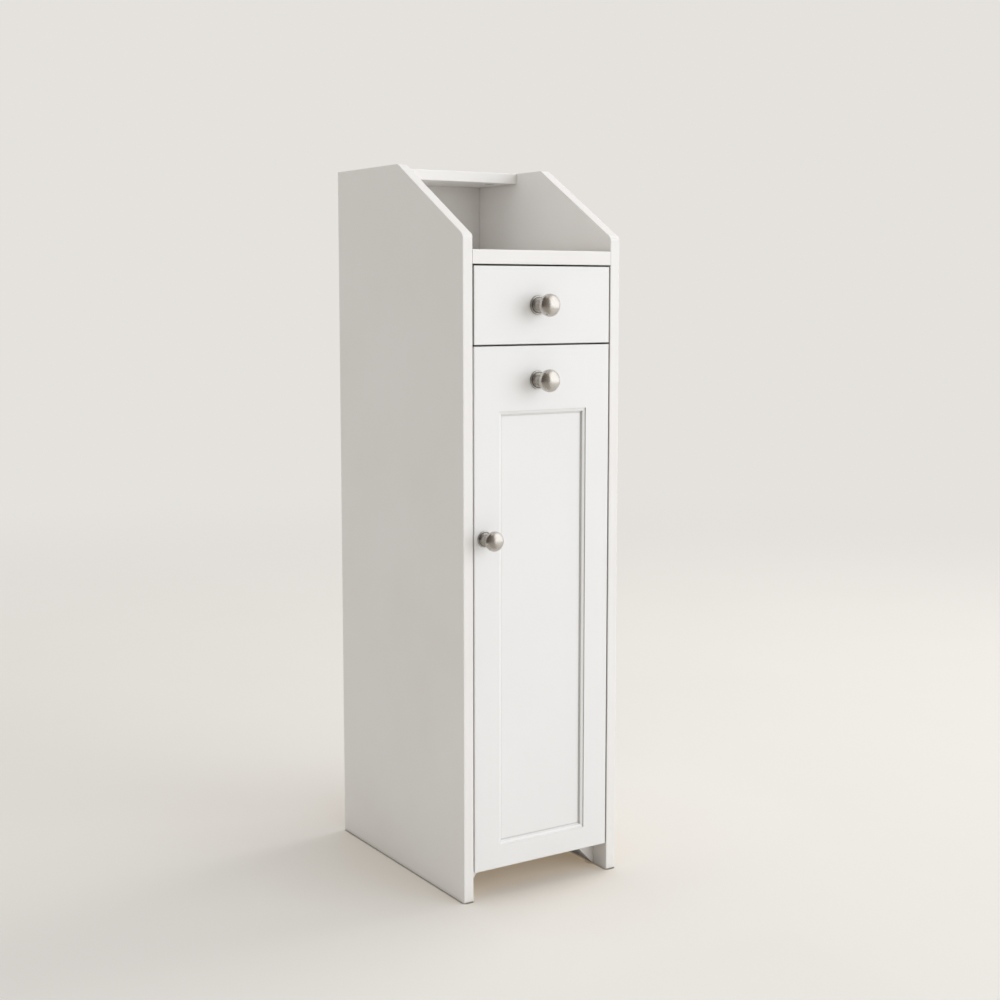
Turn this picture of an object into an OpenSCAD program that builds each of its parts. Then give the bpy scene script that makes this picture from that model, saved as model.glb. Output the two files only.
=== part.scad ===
// Narrow bathroom cabinet for toilet rolls: open tray on top, one drawer, one cupboard door.
// Millimetres. X runs across the front, fronts face -Y, Z is up from the floor.
// The origin is on the floor, midway between the sides and between the knobs and the rear edges.

/* [Cabinet] */
// Width over the two side panels
cabinet_w = 200; // [180:1:240]
// Depth from the front edges to the rear edges of the side panels
cabinet_d = 280; // [260:1:340]
// Height of the side panels
cabinet_h = 790; // [760:1:900]
// Thickness of the side panels and the fixed boards
board_t = 12; // [11.5:0.5:16]
// Radius of the eased edges on painted boards
arris = 1; // [0.4:0.1:1.2]
// Height of the open space under the bottom board
floor_space = 33; // [20:1:60]
// Distance of the inner fixed boards behind the front plane
inner_setback = 25; // [24:1:34]
// Radius of a side panel's two lower corners
foot_r = 2; // [0.4:0.2:4]

/* [Plinth] */
// Thickness of the plinth rail under the bottom board
plinth_t = 12; // [10:0.5:16]
// Height of the plinth rail between its feet
plinth_rail_h = 11; // [9:1:14]
// Width of a foot of the plinth rail at its upper end
plinth_foot_w = 21; // [14:1:34]

/* [Tray] */
// Depth of the open tray below the top edge of the sides
tray_h = 95; // [80:1:130]
// Thickness of the tray shelf
tray_shelf_t = 15; // [12:0.5:18]
// Height of the sloping front edge of a side panel
slope_h = 80; // [50:1:90]
// Depth of the sloping front edge of a side panel
slope_d = 137; // [80:1:150]
// Radius where the front edge turns into the slope
slope_low_r = 7; // [4:1:20]
// Radius where the slope turns into the top edge
slope_top_r = 8; // [4:1:20]
// Depth of the narrow board along the top of the back
top_board_d = 83; // [60:1:100]

/* [Back] */
// Thickness of the back panel
back_t = 3; // [2.5:0.5:4]
// Distance of the back panel's rear face from the rear edges of the sides
back_inset = 7; // [5:0.5:10]
// Depth of the back panel's groove in each side panel
back_groove = 4; // [3:0.5:5]

/* [Fronts] */
// Thickness of the door and the drawer front
front_t = 15; // [14:0.5:18]
// Gap round the door and the drawer front
front_gap = 1.5; // [1.2:0.1:2.5]
// Height of the drawer front
drawer_front_h = 82; // [76:1:110]
// Gap between the door's lower edge and the underside of the bottom board
door_drop = 1.5; // [0:0.5:4]

/* [Door] */
// Width of a stile's flat face
stile_flat = 30.5; // [30:0.5:36]
// Height of the top rail's flat face
top_rail_flat = 68.5; // [50:0.5:90]
// Height of the bottom rail's flat face
bottom_rail_flat = 25; // [20:0.5:45]
// Width of the moulding that is run on the frame's inner edge
moulding_w = 4.5; // [4:0.5:6]
// Depth of the panel's face behind the frame's face
panel_recess = 4; // [3:0.5:5]
// Thickness of the door panel
panel_t = 6; // [4:0.5:6]
// Depth of the panel groove behind the moulding
panel_groove = 4.5; // [3:0.5:4.5]

/* [Drawer] */
// Thickness of the drawer's sides and back
drawer_board_t = 12; // [11.5:0.5:12]
// Height of the drawer's sides
drawer_side_h = 65; // [60:1:68]
// Length of the drawer's sides
drawer_side_l = 235; // [200:1:300]
// Least space that the cabinet's depth leaves between the drawer and the back panel
drawer_rear_gap = 2; // [1:0.5:20]
// Thickness of the drawer bottom
drawer_bottom_t = 3; // [2.5:0.5:4]
// Width of a runner strip, out from the side panel
strip_w = 8; // [7:0.5:8.5]
// Height of a runner strip
strip_h = 8; // [6:0.5:10]
// Length of a runner strip
strip_l = 230; // [180:1:290]

/* [Knobs] */
// Distance that the two large knobs stand out
knob_reach = 30; // [24:0.5:36]
// Diameter of the two large knobs
knob_d = 24.2; // [20:0.2:30]
// Distance of the two large knobs to the left of the fronts' middle
knob_left = 7; // [0:0.5:12]
// Size of the stile knob as a share of the large knobs
stile_knob_share = 0.88; // [0.7:0.01:1]
// Height of the stile knob above the door's lower edge
stile_knob_h = 361.5; // [250:0.5:420]
// Distance of the stile knob from the door's edge
stile_knob_in = 12.5; // [11.5:0.5:18]
// Diameter of the knob screws
knob_screw_d = 4; // [3:0.5:5]

/* [Shelves] */
// Thickness of the adjustable shelves
shelf_t = 12; // [10:0.5:15]
// Diameter of the shelf pins
shelf_pin_d = 5; // [4:0.5:6]
// Spacing of the shelf pin holes
shelf_pin_pitch = 32; // [20:1:40]

/* [Hinges] */
// Diameter of a hinge cup
cup_d = 26; // [25:0.5:26]
// Distance of a hinge from the door's upper or lower edge
hinge_in = 80; // [60:1:110]
// Diameter of a hinge pin
hinge_pin_d = 2.5; // [2:0.1:2.6]
// Radial clearance of a hinge pin in its arm
hinge_pin_fit = 0.08; // [0.04:0.01:0.1]
// Width of a hinge arm along the pin
hinge_arm_w = 10; // [8:0.5:11]
// Thickness of a hinge arm
hinge_arm_t = 1.6; // [1.4:0.1:1.8]

/* [Hidden] */
// Fits
fit = 0.2;
bore_fit = 0.1;
screw_fit = 0.05;

// A drawer that is too long for the cabinet makes the cabinet deeper
strip_front_gap = 1;
runner_depth = max(drawer_side_l, strip_front_gap + strip_l);
depth = max(cabinet_d, front_t + runner_depth + drawer_rear_gap + back_t + back_inset);

// Main levels and planes
front_y = (knob_reach - depth) / 2;
rear_y = front_y + depth;
inner_w = cabinet_w - 2 * board_t;
back_y = rear_y - back_inset - back_t;
front_w = inner_w - 2 * front_gap;
tray_z = cabinet_h - tray_h;
drawer_front_z = tray_z - tray_shelf_t - front_gap - drawer_front_h;
door_z = floor_space - door_drop;
door_h = drawer_front_z - front_gap - door_z;
slope_z = cabinet_h - slope_h;

// Blind holes in a side panel stop short of its outer face
side_bore = 9;

// Fixed boards: underside, thickness, front edge and rear edge
divider_drop = 1;
TOP = [cabinet_h - board_t, board_t, back_y - top_board_d, back_y];
TRAY = [tray_z - tray_shelf_t, tray_shelf_t, front_y, back_y];
DIVIDER = [drawer_front_z - divider_drop - board_t, board_t, front_y + inner_setback, back_y];
BOTTOM = [floor_space, board_t, front_y + inner_setback, back_y];
FIXED_BOARDS = [TOP, TRAY, DIVIDER, BOTTOM];

// Cam locks and dowels
thread_l = 7;
thread_tip = 1.4;
cam_d = 12;
cam_h = 9;
cam_axis = 6;
cam_in = 24;
cam_from_edge = 28;
bolt_thread_d = 5;
bolt_bore_d = 7.2;
dowel_d = 6;
dowel_l = 24;
dowel_fit = 0.05;
short_board = 120;

// Back panel pins
panel_pin_d = 1.6;
panel_pin_l = 16;
panel_pin_head_d = 4;
panel_pin_head_t = 0.8;
panel_pin_in = 18;

// Plinth rail: its feet end just above the floor
plinth_clear = 1;
plinth_toe = 1;
plinth_corner_r = 3;

// Adjustable shelves: two of them, each on four pins
shelf_setback = 30;
shelf_side_gap = 1;
shelf_back_gap = 3;
shelf_pin_in = 8;
shelf_pin_out = 7;
shelf_pin_from_edge = 35;
cupboard_h = DIVIDER[0] - BOTTOM[0] - board_t;
SHELF_LEVELS = [for (i = [1, 2]) BOTTOM[0] + board_t + cupboard_h * i / 3 - shelf_t / 2];
shelf_front = front_y + shelf_setback;
shelf_rear = back_y - shelf_back_gap;
SHELF_PIN_Y = [shelf_front + shelf_pin_from_edge, shelf_rear - shelf_pin_from_edge];

// Drawer box
drawer_side_gap = 3;
drawer_box_w = inner_w - 2 * drawer_side_gap;
drawer_box_up = 6.5;
drawer_box_z = drawer_front_z + drawer_box_up;
drawer_box_y = front_y + front_t;
drawer_rear_y = drawer_box_y + drawer_side_l;
drawer_inner_w = drawer_box_w - 2 * drawer_board_t;
drawer_bottom_in = 5;
drawer_bottom_groove = 4;
strip_clear = 0.5;
strip_up = 6;
strip_z = drawer_box_z + drawer_side_h / 2 + strip_up;
strip_front = drawer_box_y + strip_front_gap;
drawer_groove = strip_w - drawer_side_gap + strip_clear;
strip_screw_in = 20;
STRIP_SCREW_Y = [for (i = [0:2]) strip_front + strip_screw_in + i * (strip_l / 2 - strip_screw_in)];
drawer_cam_up = 24;
drawer_cam_z = drawer_box_z + drawer_cam_up;
drawer_dowel_up = 12;
drawer_dowel_down = 8;
DRAWER_DOWEL_Z = [drawer_box_z + drawer_dowel_up, drawer_box_z + drawer_side_h - drawer_dowel_down];
drawer_screw_up = 18;
drawer_screw_down = 10;
DRAWER_SCREW_Z = [drawer_box_z + drawer_screw_up, drawer_box_z + drawer_side_h - drawer_screw_down];
drawer_side_x = drawer_board_t / 2 - drawer_box_w / 2;
drawer_knob_z = drawer_front_z + drawer_front_h / 2;

// Screws: shank diameter, head diameter, length under the head's top
STRIP_SCREW = [3, 6, 16];
PLINTH_SCREW = [3, 6, 18];
DRAWER_SCREW = [3, 6, 30];
HINGE_SCREW = [3, 6, 10];
CUP_SCREW = [2.6, 5, 8];
CATCH_SCREW = [2.6, 5, 11];

// Door frame and moulding
stile_w = stile_flat + moulding_w;
bottom_field_z = door_z + bottom_rail_flat;
top_field_z = door_z + door_h - top_rail_flat;
quirk = 1;
fillet_h = 0.7;
door_knob_z = door_z + door_h - (top_rail_flat + moulding_w) / 2;
stile_knob_x = -front_w / 2 + stile_knob_in;
stile_knob_z = door_z + stile_knob_h;

// Hinges: a pin in a cup in the door, and an arm that wraps round the door's edge
hinge_from_edge = 14;
hinge_behind = 6.5;
hinge_x = front_w / 2 - hinge_from_edge;
hinge_y = front_y + hinge_behind;
cup_edge = 3.5;
cup_x = front_w / 2 - cup_edge - cup_d / 2;
cup_wall = 0.8;
cup_below_pin = 3.6;
cup_depth = front_t - hinge_behind + cup_below_pin;
cup_flange_t = 0.6;
cup_flange_d = 11;
cup_screw_in = 17;
arm_reach = 12;
arm_cross = 17.6;
arm_plate_l = 38;
ARM_SCREW_Y = [12, 28];
HINGE_Z = [door_z + hinge_in, door_z + door_h - hinge_in];

// Magnetic catch and the strike plate on the door's top rail
strike_t = 1.2;
strike_w = 24;
strike_h = 12;
catch_x = -front_w / 2 + stile_w + strike_w / 2 + 1;
catch_w = 40;
catch_h = 12;
catch_gap = 0.3;
pole_t = 1.5;
pole_out = 1;
magnet_h = 7;
magnet_w = 16;
magnet_d = 12;
catch_front = front_y + front_t + strike_t + catch_gap + pole_out;
catch_tail = 14;
catch_d = inner_setback - front_t + catch_tail;
catch_screw_in = 6;
catch_screw_y = front_y + inner_setback + catch_screw_in;

WHITE = [0.93, 0.925, 0.915];
BOARD = [0.88, 0.87, 0.85];
NICKEL = [0.66, 0.63, 0.59];
STEEL = [0.72, 0.73, 0.75];
BEECH = [0.80, 0.66, 0.47];

// ---- Outlines ----

function unit(v) = v / norm(v);

// Points of the arc of radius r that replaces the corner p between a and b
function corner_arc(a, p, b, r, steps) =
    let (
        u = unit(a - p),
        v = unit(b - p),
        half = acos(u * v) / 2,
        centre = p + unit(u + v) * r / sin(half),
        first = p + u * r / tan(half) - centre,
        last = p + v * r / tan(half) - centre,
        start = atan2(first.y, first.x),
        turn = atan2(cross(first, last), first * last)
    )
    [for (i = [0:steps]) centre + r * [cos(start + turn * i / steps), sin(start + turn * i / steps)]];

// Outline through corners given as [x, y, radius]
function rounded(corners, steps = 3) =
    let (n = len(corners))
    [for (i = [0:n - 1])
        let (
            a = corners[(i + n - 1) % n],
            p = corners[i],
            b = corners[(i + 1) % n]
        )
        each p[2] > 0 ? corner_arc([a.x, a.y], [p.x, p.y], [b.x, b.y], p[2], steps) : [[p.x, p.y]]];

function eased_rectangle(low, high, r) =
    rounded([[low.x, low.y, r], [high.x, low.y, r], [high.x, high.y, r], [low.x, high.y, r]]);

// Extrudes an outline in Y and Z along X, centred on X = 0
module along_x(length) {
    translate([-length / 2, 0, 0]) rotate([90, 0, 90]) linear_extrude(length) children();
}

// Block between two corners with all its edges eased
module eased_block(low, high, r = arris) {
    intersection() {
        translate([0, 0, low.z]) linear_extrude(high.z - low.z)
            polygon(eased_rectangle([low.x, low.y], [high.x, high.y], r));
        translate([low.x, 0, 0]) rotate([90, 0, 90]) linear_extrude(high.x - low.x)
            polygon(eased_rectangle([low.y, low.z], [high.y, high.z], r));
        translate([0, high.y, 0]) rotate([90, 0, 0]) linear_extrude(high.y - low.y)
            polygon(eased_rectangle([low.x, low.z], [high.x, high.z], r));
    }
}

// Cylinders that start at a point and run along an axis
module bore_x(at, d, length) {
    translate(at) rotate([0, 90, 0]) cylinder(d = d, h = length, $fn = 32);
}

module bore_y(at, d, length) {
    translate(at) rotate([-90, 0, 0]) cylinder(d = d, h = length, $fn = 32);
}

module bore_z(at, d, length) {
    translate(at) cylinder(d = d, h = length, $fn = 32);
}

// Countersunk wood screw with a cross recess, head at the origin, shank along +Z
module wood_screw(screw) {
    head_h = (screw[1] - screw[0]) / 2;
    difference() {
        rotate_extrude($fn = 32)
            polygon([
                [0, 0], [screw[1] / 2, 0], [screw[0] / 2, head_h],
                [screw[0] / 2, screw[2] - screw[0]], [0, screw[2]]
            ]);
        for (turn = [0, 90])
            rotate(turn) translate([-screw[1] / 4, -0.4, -0.1]) cube([screw[1] / 2, 0.8, head_h * 0.7]);
    }
}

// Hole that takes a wood screw whose head is flush at the origin
module screw_hole(screw) {
    head_h = (screw[1] - screw[0]) / 2;
    rotate_extrude($fn = 32)
        polygon([
            [0, -0.1], [screw[1] / 2 + 0.1 + screw_fit, -0.1], [screw[0] / 2 + screw_fit, head_h + screw_fit],
            [screw[0] / 2 + screw_fit, screw[2] + 0.5], [0, screw[2] + 0.5]
        ]);
}

// ---- Cam locks, bolts and dowels ----

// Turning cam: its face is at z = 0 and its bolt comes in from +X
module cam_lock() {
    difference() {
        translate([0, 0, 0.2]) cylinder(d = cam_d - 2 * bore_fit, h = cam_h - 0.4, $fn = 48);
        bore_x([-3.6, 0, cam_axis], 6.8, 6);
        bore_x([0, 0, cam_axis], 4.2, cam_d);
        translate([0, 0, cam_axis - 2.1]) rotate_extrude(angle = 80, $fn = 48)
            translate([3.4, 0]) square([cam_d, 4.2]);
        for (turn = [0, 90])
            rotate(turn) translate([-3, -0.6, -0.1]) cube([6, 1.2, 2.3]);
    }
}

// Bolt of a cam lock: the panel's face is at x = 0, its thread runs to -X, its head sits in the cam
module cam_bolt() {
    thread_r = bolt_thread_d / 2 - screw_fit;
    collar_r = bolt_bore_d / 2 - 0.2;
    neck = cam_in - cam_d / 2 - 0.6;
    rotate([0, 90, 0]) rotate_extrude($fn = 32)
        polygon([
            [0, -thread_l - thread_tip], [thread_r - 0.8, -thread_l - thread_tip], [thread_r, -thread_l],
            [thread_r, 0], [collar_r, 0], [collar_r, 2.5], [2.5, 3.2],
            [2.5, neck - 0.8], [1.7, neck], [1.7, cam_in - 2], [2.7, cam_in - 1.6],
            [2.7, cam_in - 0.2], [1.9, cam_in + 0.4], [0, cam_in + 0.4]
        ]);
}

// Grooved beech dowel along X, centred on the joint
module dowel(at) {
    bevel = 0.8;
    translate(at) rotate([0, 90, 0]) rotate_extrude($fn = 32)
        polygon([
            [0, -dowel_l / 3 + 0.4], [dowel_d / 2 - bevel, -dowel_l / 3 + 0.4],
            [dowel_d / 2 - dowel_fit, -dowel_l / 3 + 0.4 + bevel],
            [dowel_d / 2 - dowel_fit, dowel_l * 2 / 3 - bevel],
            [dowel_d / 2 - bevel, dowel_l * 2 / 3], [0, dowel_l * 2 / 3]
        ]);
}

// A deep board has a cam near each edge and a dowel between them, a narrow one has one of each
function is_deep(board) = board[3] - board[2] > short_board;
function cam_rows(board) =
    is_deep(board)
        ? [board[2] + cam_from_edge, board[3] - cam_from_edge]
        : [board[2] + cam_from_edge * 0.8];
function dowel_row(board) =
    is_deep(board) ? (board[2] + board[3]) / 2 : board[3] - cam_from_edge * 0.8;

// Runs its children at the left side and, mirrored, at the right side
module both_sides() {
    children();
    mirror([1, 0, 0]) children();
}

module board_end_bores(board) {
    end = -inner_w / 2;
    for (y = cam_rows(board)) {
        bore_z([end + cam_in, y, board[0] - 0.1], cam_d, cam_h + 0.1);
        bore_x([end - 0.1, y, board[0] + cam_axis], bolt_bore_d, cam_in);
    }
    bore_x([end - 0.1, dowel_row(board), board[0] + cam_axis], dowel_d, dowel_l * 2 / 3 + 1);
}

module back_pin_bores(board) {
    for (x = back_pin_x())
        bore_y([x, back_y - panel_pin_l, board[0] + board[1] / 2], panel_pin_d + 2 * screw_fit, panel_pin_l + 5);
}

function back_pin_x() = [for (i = [-1:1]) i * (inner_w / 2 - panel_pin_in)];

// Board between the side panels, with its front edge eased
module fixed_board(board) {
    difference() {
        along_x(inner_w) polygon(rounded([
            [board[2], board[0], arris], [board[3], board[0], 0],
            [board[3], board[0] + board[1], 0], [board[2], board[0] + board[1], arris]
        ]));
        both_sides() board_end_bores(board);
        back_pin_bores(board);
    }
}

// ---- Side panels ----

// Left side panel before its holes: flat board with a sloping top front corner
module side_blank() {
    outer = -cabinet_w / 2;
    inner = -inner_w / 2;
    slope = atan2(slope_h, slope_d);
    intersection() {
        translate([outer, 0, 0]) rotate([90, 0, 90]) linear_extrude(board_t)
            polygon(rounded([
                [front_y, 0, foot_r], [rear_y, 0, foot_r], [rear_y, cabinet_h, arris],
                [front_y + slope_d, cabinet_h, slope_top_r], [front_y, slope_z, slope_low_r]
            ], 8));
        linear_extrude(cabinet_h) polygon(eased_rectangle([outer, front_y], [inner, rear_y], arris));
        translate([0, rear_y, 0]) rotate([90, 0, 0]) linear_extrude(depth)
            polygon(eased_rectangle([outer, 0], [inner, cabinet_h], arris));
        translate([0, front_y, slope_z]) rotate([slope, 0, 0])
            translate([0, cabinet_h, 0]) rotate([90, 0, 0]) linear_extrude(2 * cabinet_h)
                polygon(rounded([
                    [outer, -2 * cabinet_h, 0], [inner, -2 * cabinet_h, 0],
                    [inner, 0, arris], [outer, 0, arris]
                ]));
    }
}

// Holes and groove in the inner face of the left side panel
module side_cuts() {
    inner = -inner_w / 2;
    mouth = inner - side_bore;
    translate([inner - back_groove, back_y - fit / 2, -1])
        cube([back_groove + 1, back_t + fit, cabinet_h + 2]);
    for (board = FIXED_BOARDS) {
        for (y = cam_rows(board))
            bore_x([mouth, y, board[0] + cam_axis], bolt_thread_d, side_bore + 1);
        bore_x([mouth, dowel_row(board), board[0] + cam_axis], dowel_d, side_bore + 1);
    }
    for (level = SHELF_LEVELS, y = SHELF_PIN_Y, step = [-1:1])
        bore_x([mouth, y, level - shelf_pin_d / 2 + step * shelf_pin_pitch],
            shelf_pin_d + bore_fit, side_bore + 1);
    for (y = STRIP_SCREW_Y)
        translate([inner + strip_w, y, strip_z]) rotate([0, -90, 0]) screw_hole(STRIP_SCREW);
}

module side_panel_left() {
    color(WHITE) difference() {
        side_blank();
        side_cuts();
    }
}

// The right side panel also takes the hinge arms' screws
module side_panel_right() {
    color(WHITE) mirror([1, 0, 0]) difference() {
        side_blank();
        side_cuts();
        for (z = HINGE_Z, y = ARM_SCREW_Y)
            translate([-inner_w / 2 + hinge_arm_t, hinge_y + arm_cross + y, z])
                rotate([0, -90, 0]) screw_hole(HINGE_SCREW);
    }
}

module top_board() {
    color(WHITE) fixed_board(TOP);
}

module tray_shelf() {
    color(WHITE) fixed_board(TRAY);
}

// The divider carries the magnetic catch on its underside
module divider_board() {
    color(WHITE) difference() {
        fixed_board(DIVIDER);
        catch_screw_places() screw_hole(CATCH_SCREW);
    }
}

module bottom_board() {
    color(WHITE) difference() {
        fixed_board(BOTTOM);
        plinth_screw_places() screw_hole(PLINTH_SCREW);
    }
}

// Rail under the front of the bottom board, which runs down to a slanting foot at each side panel
module plinth_rail() {
    half = inner_w / 2;
    arch_z = floor_space - plinth_rail_h;
    color(WHITE) difference() {
        translate([0, front_y + inner_setback + plinth_t, 0]) rotate([90, 0, 0]) linear_extrude(plinth_t)
            polygon(rounded([
                [-half, plinth_clear, 0], [plinth_toe - half, plinth_clear, 0],
                [plinth_foot_w - half, arch_z, plinth_corner_r],
                [half - plinth_foot_w, arch_z, plinth_corner_r],
                [half - plinth_toe, plinth_clear, 0], [half, plinth_clear, 0],
                [half, floor_space, 0], [-half, floor_space, 0]
            ]));
        plinth_screw_places() screw_hole(PLINTH_SCREW);
    }
}

module plinth_screw_places() {
    for (x = [-1, 1])
        translate([x * inner_w / 4, front_y + inner_setback + plinth_t / 2, floor_space - plinth_rail_h])
            children();
}

module plinth_screws() {
    color(STEEL) plinth_screw_places() wood_screw(PLINTH_SCREW);
}

module back_panel() {
    reach = inner_w / 2 + back_groove - 0.5;
    color(WHITE) difference() {
        translate([-reach, back_y, BOTTOM[0]])
            cube([2 * reach, back_t, cabinet_h - 0.5 - BOTTOM[0]]);
        for (board = FIXED_BOARDS) back_pin_bores(board);
    }
}

module back_panel_pins() {
    color(STEEL) for (board = FIXED_BOARDS, x = back_pin_x())
        translate([x, back_y + back_t, board[0] + board[1] / 2]) rotate([90, 0, 0])
            rotate_extrude($fn = 24) polygon([
                [0, -panel_pin_head_t], [panel_pin_head_d / 2, -panel_pin_head_t / 2],
                [panel_pin_head_d / 2, 0], [panel_pin_d / 2, 0],
                [panel_pin_d / 2, panel_pin_l - 1], [0, panel_pin_l]
            ]);
}

// ---- Adjustable shelves ----

module adjustable_shelf(level) {
    half = inner_w / 2 - shelf_side_gap;
    color(WHITE) along_x(2 * half) polygon(rounded([
        [shelf_front, level, arris], [shelf_rear, level, 0],
        [shelf_rear, level + shelf_t, 0], [shelf_front, level + shelf_t, arris]
    ]));
}

module shelf_upper() {
    adjustable_shelf(SHELF_LEVELS[1]);
}

module shelf_lower() {
    adjustable_shelf(SHELF_LEVELS[0]);
}

// Plain steel pins, one under each corner of a shelf
module shelf_pins() {
    color(STEEL) for (level = SHELF_LEVELS, y = SHELF_PIN_Y) both_sides()
        translate([-inner_w / 2, y, level - shelf_pin_d / 2]) rotate([0, 90, 0]) rotate_extrude($fn = 32)
            polygon([
                [0, -shelf_pin_in], [shelf_pin_d / 2 - 0.6, -shelf_pin_in],
                [shelf_pin_d / 2, 0.6 - shelf_pin_in], [shelf_pin_d / 2, 0],
                [shelf_pin_d / 2, shelf_pin_out - 0.6], [shelf_pin_d / 2 - 0.6, shelf_pin_out],
                [0, shelf_pin_out]
            ]);
}

// ---- Fixings of the carcass ----

module cam_locks() {
    color(STEEL) both_sides() for (board = FIXED_BOARDS, y = cam_rows(board))
        translate([-inner_w / 2 + cam_in, y, board[0]]) rotate([0, 0, 180]) cam_lock();
}

module cam_bolts() {
    color(STEEL) both_sides() for (board = FIXED_BOARDS, y = cam_rows(board))
        translate([-inner_w / 2, y, board[0] + cam_axis]) cam_bolt();
}

module board_dowels() {
    color(BEECH) both_sides() for (board = FIXED_BOARDS)
        dowel([-inner_w / 2, dowel_row(board), board[0] + cam_axis]);
}

// ---- Drawer runners ----

// Strip on the left side panel that the groove in the drawer's side slides on
module runner_strip() {
    inner = -inner_w / 2;
    difference() {
        translate([inner, strip_front, 0]) rotate([-90, 0, 0]) linear_extrude(strip_l)
            polygon(rounded([
                [0, -strip_z - strip_h / 2, 0], [strip_w, -strip_z - strip_h / 2, 0.8],
                [strip_w, -strip_z + strip_h / 2, 0.8], [0, -strip_z + strip_h / 2, 0]
            ]));
        for (y = STRIP_SCREW_Y)
            translate([inner + strip_w, y, strip_z]) rotate([0, -90, 0]) screw_hole(STRIP_SCREW);
    }
}

module runner_strip_left() {
    color(BEECH) runner_strip();
}

module runner_strip_right() {
    color(BEECH) mirror([1, 0, 0]) runner_strip();
}

module runner_screws() {
    color(STEEL) both_sides() for (y = STRIP_SCREW_Y)
        translate([-inner_w / 2 + strip_w, y, strip_z]) rotate([0, -90, 0]) wood_screw(STRIP_SCREW);
}

// ---- Hinges ----

// Section of a hinge arm, seen from above with the pin at the origin: it leaves the pin inside the
// cup, comes out of the door's rear face, passes behind the door's edge and lies on the side panel
module hinge_arm_outline() {
    t = hinge_arm_t;
    wall = inner_w / 2 - hinge_x;
    left = arm_reach + t / 2;
    near = arm_cross - t / 2;
    polygon(rounded([
        [0, -t / 2, 0], [-left, -t / 2, t], [-left, near + t, t], [wall - t, near + t, 0],
        [wall - t, near + arm_plate_l, 0], [wall, near + arm_plate_l, 0], [wall, near, t],
        [t - left, near, 0.3], [t - left, t / 2, 0.3], [0, t / 2, 0]
    ], 4));
}

module hinge_arm(z) {
    color(NICKEL) translate([hinge_x, hinge_y, z]) difference() {
        union() {
            translate([0, 0, -hinge_arm_w / 2]) {
                linear_extrude(hinge_arm_w) hinge_arm_outline();
                cylinder(d = 2 * hinge_pin_d, h = hinge_arm_w, $fn = 48);
            }
        }
        cylinder(d = hinge_pin_d + 2 * hinge_pin_fit, h = hinge_arm_w + 2, center = true, $fn = 48);
        for (y = ARM_SCREW_Y)
            translate([inner_w / 2 - hinge_x - hinge_arm_t, arm_cross + y, 0])
                rotate([0, 90, 0]) screw_hole(HINGE_SCREW);
    }
}

module hinge_arm_upper() {
    hinge_arm(HINGE_Z[1]);
}

module hinge_arm_lower() {
    hinge_arm(HINGE_Z[0]);
}

module hinge_arm_screws() {
    color(STEEL) for (z = HINGE_Z, y = ARM_SCREW_Y)
        translate([inner_w / 2 - hinge_arm_t, hinge_y + arm_cross + y, z])
            rotate([0, 90, 0]) wood_screw(HINGE_SCREW);
}

// Cup pressed into the door's rear face: a round body, a slot for the arm and a flange with two ears
module hinge_cup(z) {
    rear = front_y + front_t;
    slot_h = hinge_arm_w + 0.8;
    color(NICKEL) difference() {
        union() {
            bore_y([cup_x, rear - cup_depth, z], cup_d - 2 * bore_fit, cup_depth);
            bore_y([cup_x, rear, z], cup_d + 2, cup_flange_t);
            for (end = [-1, 1]) bore_y([cup_x, rear, z + end * cup_screw_in], cup_flange_d, cup_flange_t);
            translate([cup_x - cup_flange_d / 2, rear, z - cup_screw_in])
                cube([cup_flange_d, cup_flange_t, 2 * cup_screw_in]);
        }
        intersection() {
            bore_y([cup_x, rear - cup_depth + cup_wall, z], cup_d - 2 * bore_fit - 2 * cup_wall, cup_depth + 2);
            translate([cup_x - cup_d, rear - 2 * cup_depth, z - slot_h / 2])
                cube([2 * cup_d, 3 * cup_depth, slot_h]);
        }
        bore_z([hinge_x, hinge_y, z - cup_d], hinge_pin_d, 2 * cup_d);
        cup_screw_places(z) screw_hole(CUP_SCREW);
    }
}

module cup_screw_places(z) {
    for (end = [-1, 1])
        translate([cup_x, front_y + front_t + cup_flange_t, z + end * cup_screw_in])
            rotate([90, 0, 0]) children();
}

module hinge_cup_upper() {
    hinge_cup(HINGE_Z[1]);
}

module hinge_cup_lower() {
    hinge_cup(HINGE_Z[0]);
}

module hinge_pins() {
    length = 2 * (cup_d / 2 - 3);
    color(STEEL) for (z = HINGE_Z)
        translate([hinge_x, hinge_y, z - length / 2]) cylinder(d = hinge_pin_d, h = length, $fn = 48);
}

module hinge_cup_screws() {
    color(STEEL) for (z = HINGE_Z) cup_screw_places(z) wood_screw(CUP_SCREW);
}

// ---- Magnetic catch ----

module catch_screw_places() {
    for (end = [-1, 1])
        translate([catch_x + end * (catch_w / 2 - 6), catch_screw_y, DIVIDER[0] - 3]) children();
}

// Moulded case that holds a magnet between two steel plates, with an ear at each end
module catch_case() {
    top = DIVIDER[0];
    body_w = magnet_w + 4;
    rear = catch_front + catch_d;
    color(WHITE) difference() {
        union() {
            eased_block([catch_x - body_w / 2, catch_front, top - catch_h], [catch_x + body_w / 2, rear, top], 0.5);
            eased_block(
                [catch_x - catch_w / 2, front_y + inner_setback + 0.5, top - 3],
                [catch_x + catch_w / 2, rear - 2, top], 0.5
            );
        }
        translate([catch_x - magnet_w / 2 - fit, catch_front - 1, top - catch_h / 2 - magnet_h / 2 - pole_t - fit])
            cube([magnet_w + 2 * fit, magnet_d + 1 + fit, magnet_h + 2 * pole_t + 2 * fit]);
        catch_screw_places() screw_hole(CATCH_SCREW);
    }
}

module catch_magnet() {
    color([0.25, 0.25, 0.26])
        translate([catch_x - magnet_w / 2, catch_front, DIVIDER[0] - catch_h / 2 - magnet_h / 2])
            cube([magnet_w, magnet_d, magnet_h]);
}

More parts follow.
